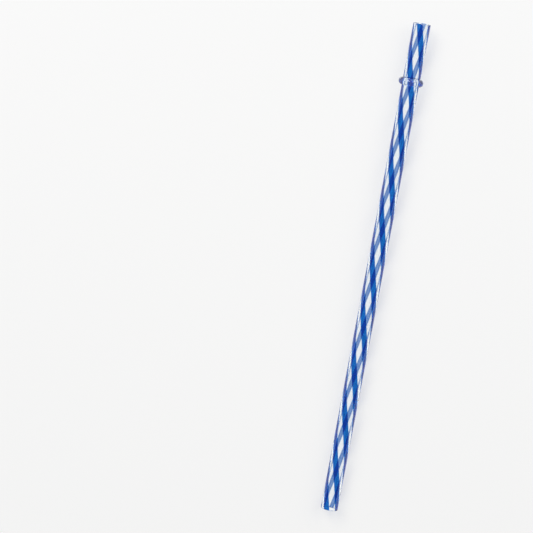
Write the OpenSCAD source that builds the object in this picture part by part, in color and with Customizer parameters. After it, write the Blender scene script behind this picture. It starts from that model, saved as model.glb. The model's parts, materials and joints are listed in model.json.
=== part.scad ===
// Reusable hard plastic drinking straw: a clear extruded tube with coloured stripes that
// wind through its wall, and a clear stop ring moulded round it near the mouth.
// It lies as it comes to rest, on the ring and on the rim of its lower end, with the mouth
// towards +X. The sub-parts are drawn upright, with the lower end at z = 0, and laid down last.

/* [Tube] */
// Length of the straw from end to end
tube_length = 230; // [150:1:300]
// Outside diameter of the tube
tube_od = 8; // [6:0.1:12]
// Thickness of the tube's wall
tube_wall = 1; // [0.9:0.05:1.5]
// Radius of the rounded edges at both cut ends
rim_round = 0.15; // [0.05:0.01:0.25]

/* [Stripes] */
// Number of coloured stripes in the wall
stripe_count = 4; // [2:1:6]
// Share of the wall's circumference that the stripes take up
stripe_share = 0.47; // [0.2:0.01:0.8]
// Length of straw in which a stripe winds once round it
stripe_pitch = 92; // [60:1:200]
// Thickness of the clear skin over the stripes, outside and in the bore
stripe_skin = 0.3; // [0.25:0.01:0.35]
// Turn of the stripes about the straw's axis, measured at the lower end
stripe_start = 74; // [0:1:359]
// Colour of the stripes
stripe_colour = "MediumBlue"; // [MediumBlue, Crimson, DarkOrange, MediumOrchid, Turquoise]

/* [Stop ring] */
// Distance from the mouth to the middle of the ring
ring_from_mouth = 27; // [10:0.5:80]
// How far the ring stands out from the tube
ring_projection = 1.75; // [0.8:0.05:3]
// Height of the ring along the tube
ring_height = 3.6; // [2:0.1:8]
// Depth to which the moulded ring bonds into the tube's skin
ring_bond = 0.2; // [0.05:0.01:0.2]

/* [Hidden] */
$fn = 96;
clear_colour = [0.9, 0.94, 0.97, 0.4];

// The rims keep a flat land between their two rounded edges, and the stripes end on it
rim_r = min(rim_round, 0.8 * stripe_skin);

tube_r = tube_od / 2;
bore_r = tube_r - tube_wall;

stripe_outer_r = tube_r - stripe_skin;
stripe_inner_r = bore_r + stripe_skin;
stripe_arc = 360 * stripe_share / stripe_count;
stripe_arc_steps = 4;

// The stripes are drawn in slices along the straw, each turned by no more than slice_turn_max
slice_turn_max = 15;
slices = ceil(360 * tube_length / stripe_pitch / slice_turn_max);
slice_height = tube_length / slices;
slice_turn = 360 * slice_height / stripe_pitch;

// The ring's section is an arc through its crown and its two edges on the tube
ring_z = tube_length - ring_from_mouth;
ring_seat_r = tube_r - ring_bond;
ring_crown_r = tube_r + ring_projection;
bead_r = (pow(ring_projection, 2) + pow(ring_height / 2, 2)) / (2 * ring_projection);
bead_centre_r = ring_crown_r - bead_r;
bead_neck_r = max(tube_r, bead_centre_r);

// At rest the floor touches the rounded rim of the lower end and the bead of the ring
rim_centre_r = tube_r - rim_r;
rest_run = ring_z - rim_r;
rest_rise = bead_centre_r - rim_centre_r;
rest_tilt = atan2(rest_rise, rest_run) + asin((bead_r - rim_r) / norm([rest_run, rest_rise]));
rest_lift = rim_r + rim_centre_r * cos(rest_tilt) - rim_r * sin(rest_tilt);

// Lays an upright sub-part down, with the middle of the straw's axis over the origin
module laid_down() {
    translate([-tube_length / 2 * cos(rest_tilt), 0, rest_lift])
        rotate([0, 90 - rest_tilt, 0])
            children();
}

// Section of the tube's wall, with rounded edges at both ends
module wall_section() {
    translate([bore_r, rim_r])
        square([tube_wall, tube_length - 2 * rim_r]);
    translate([bore_r + rim_r, 0])
        square([tube_wall - 2 * rim_r, tube_length]);
    for (r = [bore_r + rim_r, tube_r - rim_r], z = [rim_r, tube_length - rim_r])
        translate([r, z])
            circle(rim_r);
}

// Section of the ring, from its seat in the tube's skin to its crown
module ring_section() {
    translate([ring_seat_r, ring_z - ring_height / 2])
        square([bead_neck_r - ring_seat_r, ring_height]);
    intersection() {
        translate([ring_seat_r, ring_z - ring_height / 2])
            square([ring_crown_r - ring_seat_r, ring_height]);
        translate([bead_centre_r, ring_z])
            circle(bead_r);
    }
}

// Points on an arc of the stripe's width, from one edge to the other
function stripe_edge(r, from, to) = [
    for (i = [0 : stripe_arc_steps])
        let (a = from + (to - from) * i / stripe_arc_steps) r * [cos(a), sin(a)]
];

// A stripe that winds up the straw, with extra slices beyond both ends where it cuts a channel
module winding_stripe(k, extra_slices = 0) {
    turns_back = slice_turn * extra_slices;
    translate([0, 0, -slice_height * extra_slices])
        rotate(stripe_start + 360 * k / stripe_count + turns_back)
            linear_extrude(
                height = tube_length + 2 * slice_height * extra_slices,
                twist = slice_turn * (slices + 2 * extra_slices),
                slices = slices + 2 * extra_slices,
                $fn = 2 * (stripe_arc_steps + 1)
            )
                polygon(concat(
                    stripe_edge(stripe_outer_r, -stripe_arc / 2, stripe_arc / 2),
                    stripe_edge(stripe_inner_r, stripe_arc / 2, -stripe_arc / 2)
                ));
}

module tube() {
    color(clear_colour)
        laid_down()
            difference() {
                rotate_extrude()
                    difference() {
                        wall_section();
                        translate([ring_seat_r, ring_z - ring_height / 2])
                            square([ring_projection, ring_height]);
                    }
                for (k = [1 : stripe_count])
                    winding_stripe(k, extra_slices = 1);
            }
}

module stop_ring() {
    color(clear_colour)
        laid_down()
            rotate_extrude()
                ring_section();
}

module stripe(k) {
    color(stripe_colour)
        laid_down()
            winding_stripe(k);
}

tube();
stop_ring();
for (k = [1 : stripe_count])
    stripe(k);
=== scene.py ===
import json
from math import asin, atan2, cos, pi, radians, sin

import bmesh
import bpy
from mathutils import Matrix, Vector


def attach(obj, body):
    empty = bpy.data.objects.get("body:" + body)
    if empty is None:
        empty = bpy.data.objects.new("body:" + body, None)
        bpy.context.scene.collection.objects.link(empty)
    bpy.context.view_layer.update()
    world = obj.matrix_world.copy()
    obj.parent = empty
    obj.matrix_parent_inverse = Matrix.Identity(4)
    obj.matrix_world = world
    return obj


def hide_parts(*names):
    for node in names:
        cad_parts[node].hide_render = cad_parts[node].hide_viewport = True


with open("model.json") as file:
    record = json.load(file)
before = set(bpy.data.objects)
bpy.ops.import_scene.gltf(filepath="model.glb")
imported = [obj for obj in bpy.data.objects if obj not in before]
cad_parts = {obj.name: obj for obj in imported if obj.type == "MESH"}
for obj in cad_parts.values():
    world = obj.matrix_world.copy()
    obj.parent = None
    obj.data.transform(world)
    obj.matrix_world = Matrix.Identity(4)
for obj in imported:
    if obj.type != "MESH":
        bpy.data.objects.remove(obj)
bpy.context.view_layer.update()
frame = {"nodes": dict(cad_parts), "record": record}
print("frame loaded:", sorted(frame["nodes"]))

mm = 0.001  # pieces are drawn upright in mm, then laid down in metres


def hexToLinear(code):
    srgb = [int(code[i:i + 2], 16) / 255 for i in (1, 3, 5)]
    return [c / 12.92 if c <= 0.04045 else ((c + 0.055) / 1.055) ** 2.4 for c in srgb] + [1.0]


def addNode(tree, kind, inputs={}, **settings):
    node = tree.nodes.new(kind)
    for name, value in settings.items():
        setattr(node, name, value)
    for name, value in inputs.items():
        if isinstance(value, bpy.types.NodeSocket):
            tree.links.new(value, node.inputs[name])
        else:
            node.inputs[name].default_value = value
    return node


def newMaterial(name):
    material = bpy.data.materials.new(name)
    material.use_nodes = True
    material.node_tree.nodes.clear()
    return material, material.node_tree


# the straw lies where its bore mount says
boreMount = next(m for m in frame["record"]["mounts"] if m["name"] == "bore")
strawAxis = Vector(boreMount["axis"]).normalized()
strawMiddle = Vector(boreMount["pos_m"])


def layDown(bm, length):
    lowerEnd = strawMiddle - strawAxis * (length * mm / 2)
    turn = Matrix.Rotation(pi / 2 - asin(strawAxis.z), 4, "Y")
    laid = Matrix.Translation(lowerEnd) @ turn @ Matrix.Scale(mm, 4)
    bmesh.ops.transform(bm, matrix=laid, verts=bm.verts)


def finishPiece(bm, name, materials, sharpAngle=40):
    bmesh.ops.recalc_face_normals(bm, faces=bm.faces)
    mesh = bpy.data.meshes.new(name)
    bm.to_mesh(mesh)
    bm.free()
    mesh.shade_smooth()
    mesh.set_sharp_from_angle(angle=radians(sharpAngle))
    for material in materials:
        mesh.materials.append(material)
    piece = bpy.data.objects.new(name, mesh)
    bpy.context.scene.collection.objects.link(piece)
    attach(piece, "root")
    return piece


# clear styrene-acrylonitrile, drawn through a die: water clear, with sharp reflections
# and faint lines along the straw
clearLook = {
    "ior": 1.57,
    "dieLine": 0.7,  # mm between the die's lines
    "dieLineLength": 60.0,  # mm
    "dieLineDepth": 0.004,  # mm, deeper than real so that it shows
    "dieLineBump": 0.25,
    "dieLineDetail": 2.0,
    "smear": 9.0,  # mm across the duller patches left by handling
    "smearFade": (0.35, 0.75),  # noise at which a patch begins and at which it is dullest
    "smearDetail": 3.0,
    "passesOn": "#FAFBFC",  # light that each wall lets on to the stripes and the floor
}
# how each surface was made; haze is the share of the light that it scatters, and the stop ring's pale
# blue is painted light
clearFinishes = {
    "drawn": {"colour": "#FBFDFE", "haze": 0.0, "roughness": (0.015, 0.06)},
    "bore": {"colour": "#FBFDFE", "haze": 0.1, "roughness": (0.015, 0.06)},  # never polished
    # the stop ring's pale blue is painted light: it stands in for the blue light that the stripes send
    # into its haze
    "moulded": {"colour": "#EAF4FD", "haze": 0.06, "roughness": (0.015, 0.06)},  # the stop ring
    "cut": {"colour": "#EAF4FD", "haze": 0.2, "roughness": (0.06, 0.15)},  # both ends, sawn and buffed
}


def clearPlastic(finish):
    look, own = clearLook, clearFinishes[finish]
    material, tree = newMaterial("clear_styrene_" + finish)
    place = addNode(tree, "ShaderNodeTexCoord").outputs["Object"]
    alongLines, acrossLines = 1 / (look["dieLineLength"] * mm), 1 / (look["dieLine"] * mm)
    lineSpace = addNode(tree, "ShaderNodeMapping", {
        "Vector": place, "Scale": (alongLines, acrossLines, acrossLines),
    })
    lines = addNode(tree, "ShaderNodeTexNoise", {
        "Vector": lineSpace.outputs[0], "Scale": 1.0, "Detail": look["dieLineDetail"],
    })
    bump = addNode(tree, "ShaderNodeBump", {
        "Height": lines.outputs["Fac"],
        "Strength": look["dieLineBump"],
        "Distance": look["dieLineDepth"] * mm,
    })
    smears = addNode(tree, "ShaderNodeTexNoise", {
        "Vector": place, "Scale": 1 / (look["smear"] * mm), "Detail": look["smearDetail"],
    })
    rough = addNode(tree, "ShaderNodeMapRange", {
        "Value": smears.outputs["Fac"],
        "From Min": look["smearFade"][0], "From Max": look["smearFade"][1],
        "To Min": own["roughness"][0], "To Max": own["roughness"][1],
    })
    plastic = addNode(tree, "ShaderNodeBsdfPrincipled", {
        "Base Color": hexToLinear(own["colour"]),
        "Transmission Weight": 1.0 - own["haze"],
        "IOR": look["ior"],
        "Roughness": rough.outputs[0],
        "Normal": bump.outputs[0],
    })
    # lamps and bounced light pass straight through the wall and reach the stripes and the floor
    path = addNode(tree, "ShaderNodeLightPath")
    letThrough = addNode(tree, "ShaderNodeBsdfTransparent", {"Color": hexToLinear(look["passesOn"])})
    forLamps = addNode(tree, "ShaderNodeMixShader", {
        0: path.outputs["Is Shadow Ray"], 1: plastic.outputs[0], 2: letThrough.outputs[0],
    })
    forBounces = addNode(tree, "ShaderNodeMixShader", {
        0: path.outputs["Is Diffuse Ray"], 1: forLamps.outputs[0], 2: letThrough.outputs[0],
    })
    addNode(tree, "ShaderNodeOutputMaterial", {"Surface": forBounces.outputs[0]})
    return material


# the same plastic drawn with blue dye, under a clear skin: see-through, fine streaks along the
# stripe, darker where two stripes cross
stripeLook = {
    "solid": ("#1248A8", "#1F5BBE"),  # dye with light on it, in the thicker and the thinner streaks
    "tint": ("#DCEBF6", "#FFFFFF"),  # light that the same streaks leave at each face
    "streak": 0.45,  # mm across the streaks
    "streakLength": 18.0,  # mm
    "streakDetail": 3.0,
    "streakFade": (0.3, 0.7),  # noise at which a streak is thickest and thinnest
    "dye": "#00D9F8",  # colour of the light left by the way through the dye
    "dyeDensity": 9.8,  # per mm of that way
    "haze": (0.2, 0.85),  # share of the light that the dye scatters, inside and at its cut ends
    "roughness": 0.4,
}


def bluePlastic():
    look = stripeLook
    material, tree = newMaterial("blue_styrene_dyed")
    along = addNode(tree, "ShaderNodeUVMap", uv_map="alongStripe")
    streakSpace = addNode(tree, "ShaderNodeMapping", {
        "Vector": along.outputs[0], "Scale": (1 / look["streak"], 1 / look["streakLength"], 1.0),
    })
    streaks = addNode(tree, "ShaderNodeTexNoise", {
        "Vector": streakSpace.outputs[0], "Scale": 1.0, "Detail": look["streakDetail"],
    })
    ramps = {}
    for lit in ("solid", "tint"):
        ramp = addNode(tree, "ShaderNodeValToRGB", {"Fac": streaks.outputs["Fac"]})
        for stop, place, colour in zip(ramp.color_ramp.elements, look["streakFade"], look[lit]):
            stop.position = place
            stop.color = hexToLinear(colour)
        ramps[lit] = ramp.outputs["Color"]
    # the gloss is the clear skin's, so the dye has none
    solid = addNode(tree, "ShaderNodeBsdfPrincipled", {
        "Base Color": ramps["solid"], "Roughness": look["roughness"], "Specular IOR Level": 0.0,
    })
    tint = addNode(tree, "ShaderNodeBsdfTransparent", {"Color": ramps["tint"]})
    cutEnd = addNode(tree, "ShaderNodeAttribute", attribute_name="cutEnd")
    haze = addNode(tree, "ShaderNodeMapRange", {
        "Value": cutEnd.outputs["Fac"], "To Min": look["haze"][0], "To Max": look["haze"][1],
    })
    hazy = addNode(tree, "ShaderNodeMixShader", {
        0: haze.outputs[0], 1: tint.outputs[0], 2: solid.outputs[0],
    })
    # what comes in through the clear skin goes on through the dye; only a stripe seen bare, as the
    # export takes it, is solid
    path = addNode(tree, "ShaderNodeLightPath")
    seen = addNode(tree, "ShaderNodeMixShader", {
        0: path.outputs["Is Camera Ray"], 1: hazy.outputs[0], 2: solid.outputs[0],
    })
    dye = addNode(tree, "ShaderNodeVolumeAbsorption", {
        "Color": hexToLinear(look["dye"]), "Density": look["dyeDensity"] / mm,
    })
    addNode(tree, "ShaderNodeOutputMaterial", {
        "Surface": seen.outputs[0], "Volume": dye.outputs[0],
    })
    return material


# clear tube and stop ring, moulded into one, sizes in mm
strawBody = {
    "length": 230.0,
    "outsideR": 4.0,
    "boreR": 3.0,
    "rimRound": 0.15,
    "rimSteps": 5,
    "ringFromMouth": 27.0,
    "ringProjection": 1.75,
    "ringHeight": 3.6,
    "ringSteps": 26,
    "support": 0.4,  # loops beside the rounded edges, so the long walls keep straight normals
    "turnSteps": 128,
    "edge": 0.01,  # what stands off the straight walls by more is another surface
    "weld": 0.001,  # points closer than this are one
}


def lineTo(bm, vert, r, z):
    new = bmesh.ops.extrude_vert_indiv(bm, verts=[vert])["verts"][0]
    new.co = (r, 0, z)
    return new


def arcRound(bm, vert, r, z, angle, steps):
    arc = bmesh.ops.spin(bm, geom=[vert], cent=(r, 0, z), axis=(0, 1, 0), angle=angle, steps=steps)
    return next(g for g in arc["geom_last"] if isinstance(g, bmesh.types.BMVert))


def finishAt(place):
    s = strawBody
    r = place.to_2d().length
    if min(place.z, s["length"] - place.z) < s["rimRound"]:
        return "cut"
    if r < s["boreR"] + s["edge"]:
        return "bore"
    return "moulded" if r > s["outsideR"] + s["edge"] else "drawn"


def makeBody():
    s = strawBody
    top, rim, support = s["length"], s["rimRound"], s["support"]
    boreR, outsideR, steps = s["boreR"], s["outsideR"], s["rimSteps"]
    ringZ = top - s["ringFromMouth"]
    ringTop, ringFoot = ringZ + s["ringHeight"] / 2, ringZ - s["ringHeight"] / 2
    beadR = (s["ringProjection"] ** 2 + (s["ringHeight"] / 2) ** 2) / (2 * s["ringProjection"])
    beadCentre = outsideR + s["ringProjection"] - beadR
    beadHalf = atan2(s["ringHeight"] / 2, outsideR - beadCentre)

    bm = bmesh.new()
    pen = bm.verts.new((boreR, 0, rim))
    for z in (rim + support, top - rim - support, top - rim):  # up the bore
        pen = lineTo(bm, pen, boreR, z)
    pen = arcRound(bm, pen, boreR + rim, top - rim, pi / 2, steps)
    pen = lineTo(bm, pen, outsideR - rim, top)
    pen = arcRound(bm, pen, outsideR - rim, top - rim, pi / 2, steps)
    for z in (top - rim - support, ringTop + support, ringTop):  # down the mouthpiece
        pen = lineTo(bm, pen, outsideR, z)
    pen = arcRound(bm, pen, beadCentre, ringZ, 2 * beadHalf, s["ringSteps"])
    for z in (ringFoot - support, rim + support, rim):  # down the stem
        pen = lineTo(bm, pen, outsideR, z)
    pen = arcRound(bm, pen, outsideR - rim, rim, pi / 2, steps)
    pen = lineTo(bm, pen, boreR + rim, 0)
    arcRound(bm, pen, boreR + rim, rim, pi / 2, steps)
    bmesh.ops.remove_doubles(bm, verts=bm.verts, dist=s["weld"])
    bmesh.ops.spin(bm, geom=bm.verts[:] + bm.edges[:], axis=(0, 0, 1), angle=2 * pi,
                   steps=s["turnSteps"], use_merge=True)
    bmesh.ops.remove_doubles(bm, verts=bm.verts, dist=s["weld"])
    finishes = list(clearFinishes)
    for face in bm.faces:
        face.material_index = finishes.index(finishAt(face.calc_center_median()))
    layDown(bm, top)
    body = finishPiece(bm, "clear_body", [clearPlastic(finish) for finish in finishes])
    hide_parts("tube", "stop_ring")


# dyed stripes inside the wall, sizes in mm and degrees
stripeInlay = {
    "count": 4,
    "share": 0.47,
    "pitch": 92.0,
    "skin": 0.3,
    "start": 74.0,
    "endSkin": 0.03,  # clear plastic left over each cut end
    "arcSteps": 10,
    "sweepStep": 4.0,
    "streakShift": 10.0,  # so that no two stripes have the same streaks
}


def makeStripe(k, material):
    s, length = stripeInlay, strawBody["length"]
    innerR, outerR = strawBody["boreR"] + s["skin"], strawBody["outsideR"] - s["skin"]
    arc = 2 * pi * s["share"] / s["count"]
    rise = length - 2 * s["endSkin"]
    turn = 2 * pi * rise / s["pitch"]
    sweeps = round(turn / radians(s["sweepStep"]))
    startAngle = radians(s["start"]) + 2 * pi * k / s["count"]
    firstEdge = startAngle - arc / 2 - 2 * pi * s["endSkin"] / s["pitch"]

    bm = bmesh.new()
    ends = [bm.verts.new((r, 0, s["endSkin"])) for r in (innerR, outerR)]
    bm.edges.new(ends)
    bmesh.ops.spin(bm, geom=bm.verts[:] + bm.edges[:], axis=(0, 0, 1), angle=arc,
                   steps=s["arcSteps"])
    bmesh.ops.rotate(bm, cent=(0, 0, 0), verts=bm.verts, matrix=Matrix.Rotation(firstEdge, 3, "Z"))
    # the section winds up the straw, left-handed
    bmesh.ops.spin(bm, geom=bm.verts[:] + bm.edges[:] + bm.faces[:], axis=(0, 0, 1), angle=-turn,
                   dvec=(0, 0, rise / sweeps), steps=sweeps)
    uvs = bm.loops.layers.uv.new("alongStripe")
    cutEnd = bm.faces.layers.float.new("cutEnd")
    for face in bm.faces:
        heights = {round(v.co.z, 3) for v in face.verts}
        face[cutEnd] = len(heights) == 1  # only the cut ends lie flat
        for loop in face.loops:
            x, y, z = loop.vert.co
            across = atan2(y, x) - startAngle + 2 * pi * z / s["pitch"]
            across = atan2(sin(across), cos(across))
            loop[uvs].uv = (across * outerR + s["streakShift"] * k, z)
    layDown(bm, length)
    stripe = finishPiece(bm, f"dyed_stripe_{k}", [material])
    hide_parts(f"stripe_{k}")


makeBody()
blue = bluePlastic()
for k in range(1, stripeInlay["count"] + 1):
    makeStripe(k, blue)
print("straw built")


# white laminate table, matt: even and pale, with soft shadows
floorLook = {
    "colour": "#F6F6F5",
    "background": "#FFFFFF",
    "lookedAt": 0.6,  # share of background for the camera and in reflections
    "lookedThrough": 0.85,  # and more of it through the clear wall
    "size": 3.0,  # metres from its middle to an edge
}


def makeFloor():
    material, tree = newMaterial("white_table")
    matt = addNode(tree, "ShaderNodeBsdfDiffuse", {"Color": hexToLinear(floorLook["colour"])})
    white = addNode(tree, "ShaderNodeEmission", {
        "Color": hexToLinear(floorLook["background"]), "Strength": 1.0,
    })
    path = addNode(tree, "ShaderNodeLightPath")
    seen = addNode(tree, "ShaderNodeMath", {
        0: path.outputs["Is Camera Ray"], 1: path.outputs["Is Glossy Ray"],
    }, operation="ADD")
    through = addNode(tree, "ShaderNodeMath", {
        0: path.outputs["Is Transmission Ray"], 1: floorLook["lookedThrough"],
    }, operation="MULTIPLY")
    share = addNode(tree, "ShaderNodeMath", {
        0: seen.outputs[0], 1: floorLook["lookedAt"], 2: through.outputs[0],
    }, operation="MULTIPLY_ADD", use_clamp=True)
    surface = addNode(tree, "ShaderNodeMixShader", {
        0: share.outputs[0], 1: matt.outputs[0], 2: white.outputs[0],
    })
    addNode(tree, "ShaderNodeOutputMaterial", {"Surface": surface.outputs[0]})
    bm = bmesh.new()
    bmesh.ops.create_grid(bm, x_segments=2, y_segments=2, size=floorLook["size"])
    mesh = bpy.data.meshes.new("floor")
    bm.to_mesh(mesh)
    bm.free()
    mesh.materials.append(material)
    floor = bpy.data.objects.new("floor", mesh)
    bpy.context.scene.collection.objects.link(floor)


# soft boxes aimed at the straw, sizes in metres across and up
softBoxes = {
    "key": {"place": (1.2, 1.0, 1.6), "size": (1.3, 1.3), "watts": 41.0},
    "fill": {"place": (1.2, -1.1, 1.3), "size": (1.4, 1.4), "watts": 19.0},
}
# white all round, but reflections show a dim room above the backdrop
room = {
    "colour": "#F2F4F6",
    "light": 0.12,
    "backdropEnds": (0.1, 0.3),  # sine of the angle up at which it begins to fade and is gone
}


def makeLights():
    for name, box in softBoxes.items():
        lamp = bpy.data.lights.new(name, "AREA")
        lamp.shape = "RECTANGLE"
        lamp.energy = box["watts"]
        lamp.size, lamp.size_y = box["size"]
        light = bpy.data.objects.new(name, lamp)
        light.location = box["place"]
        light.rotation_euler = (strawMiddle - light.location).to_track_quat("-Z", "Y").to_euler()
        bpy.context.scene.collection.objects.link(light)
    world = bpy.data.worlds.new("studio")
    bpy.context.scene.world = world
    world.use_nodes = True
    tree = world.node_tree
    tree.nodes.clear()
    # the white is for the camera, for reflections and for what shows through the clear plastic
    direction = addNode(tree, "ShaderNodeTexCoord")
    height = addNode(tree, "ShaderNodeSeparateXYZ", {0: direction.outputs["Generated"]})
    backdrop = addNode(tree, "ShaderNodeMapRange", {
        "Value": height.outputs["Z"],
        "From Min": room["backdropEnds"][0], "From Max": room["backdropEnds"][1],
        "To Min": 1.0, "To Max": room["light"],
    })
    path = addNode(tree, "ShaderNodeLightPath")
    level = addNode(tree, "ShaderNodeMath", {
        0: path.outputs["Is Glossy Ray"], 1: backdrop.outputs[0],
    }, operation="MULTIPLY")
    for least in (path.outputs["Is Camera Ray"], path.outputs["Is Transmission Ray"], room["light"]):
        level = addNode(tree, "ShaderNodeMath", {0: level.outputs[0], 1: least}, operation="MAXIMUM")
    walls = addNode(tree, "ShaderNodeBackground", {
        "Color": hexToLinear(room["colour"]), "Strength": level.outputs[0],
    })
    addNode(tree, "ShaderNodeOutputWorld", {"Surface": walls.outputs[0]})


# the camera looks down on the straw, with its mouth at the top right of the picture
cameraView = {
    "mouth": (420, 27),  # pixels of a 533 x 533 picture
    "lowerEnd": (330, 512),
    "picture": 533,
    "distance": 1.3,
    "farthest": 20.0,
    "towardsMouth": 8.5,  # degrees off straight down
    "roundStraw": 3.5,  # degrees about the straw's axis
    "sensor": 36.0,
}


def makeCamera():
    v = cameraView
    tilt = radians(v["towardsMouth"])
    turn = Matrix.Rotation(radians(v["roundStraw"]), 3, strawAxis)
    forward = turn @ Vector((-sin(tilt), 0, -cos(tilt)))
    alongStraw = turn @ Vector((cos(tilt), 0, -sin(tilt)))
    acrossStraw = forward.cross(alongStraw)
    dx, dy = v["mouth"][0] - v["lowerEnd"][0], v["lowerEnd"][1] - v["mouth"][1]
    lean = atan2(dx, dy)
    up = cos(lean) * alongStraw - sin(lean) * acrossStraw
    right = forward.cross(up)
    # the lens gives the straw its length in the picture, and the aim its place
    seenLength = strawBody["length"] * mm * strawAxis.dot(alongStraw)
    perPixel = seenLength / (dx ** 2 + dy ** 2) ** 0.5
    half = v["picture"] / 2
    offX = (v["mouth"][0] + v["lowerEnd"][0]) / 2 - half
    offY = half - (v["mouth"][1] + v["lowerEnd"][1]) / 2
    aim = strawMiddle - right * (offX * perPixel) - up * (offY * perPixel)
    lens = bpy.data.cameras.new("camera")
    lens.sensor_width = v["sensor"]
    lens.lens = v["sensor"] * v["distance"] / (perPixel * v["picture"])
    lens.clip_end = v["farthest"]
    camera = bpy.data.objects.new("camera", lens)
    turned = Matrix((right, up, -forward)).transposed().to_4x4()
    camera.matrix_world = Matrix.Translation(aim - forward * v["distance"]) @ turned
    bpy.context.scene.collection.objects.link(camera)
    bpy.context.scene.camera = camera


makeFloor()
makeLights()
makeCamera()

# light goes to and fro in the clear wall and the ring many times before it gets out
lightPaths = {"inPlastic": 48, "throughStripes": 32}
scene = bpy.context.scene
scene.view_settings.view_transform = "Standard"
scene.cycles.max_bounces = lightPaths["inPlastic"]
scene.cycles.transmission_bounces = lightPaths["inPlastic"]
scene.cycles.glossy_bounces = lightPaths["inPlastic"]
scene.cycles.transparent_max_bounces = lightPaths["throughStripes"]
print("stage, lights and camera set")
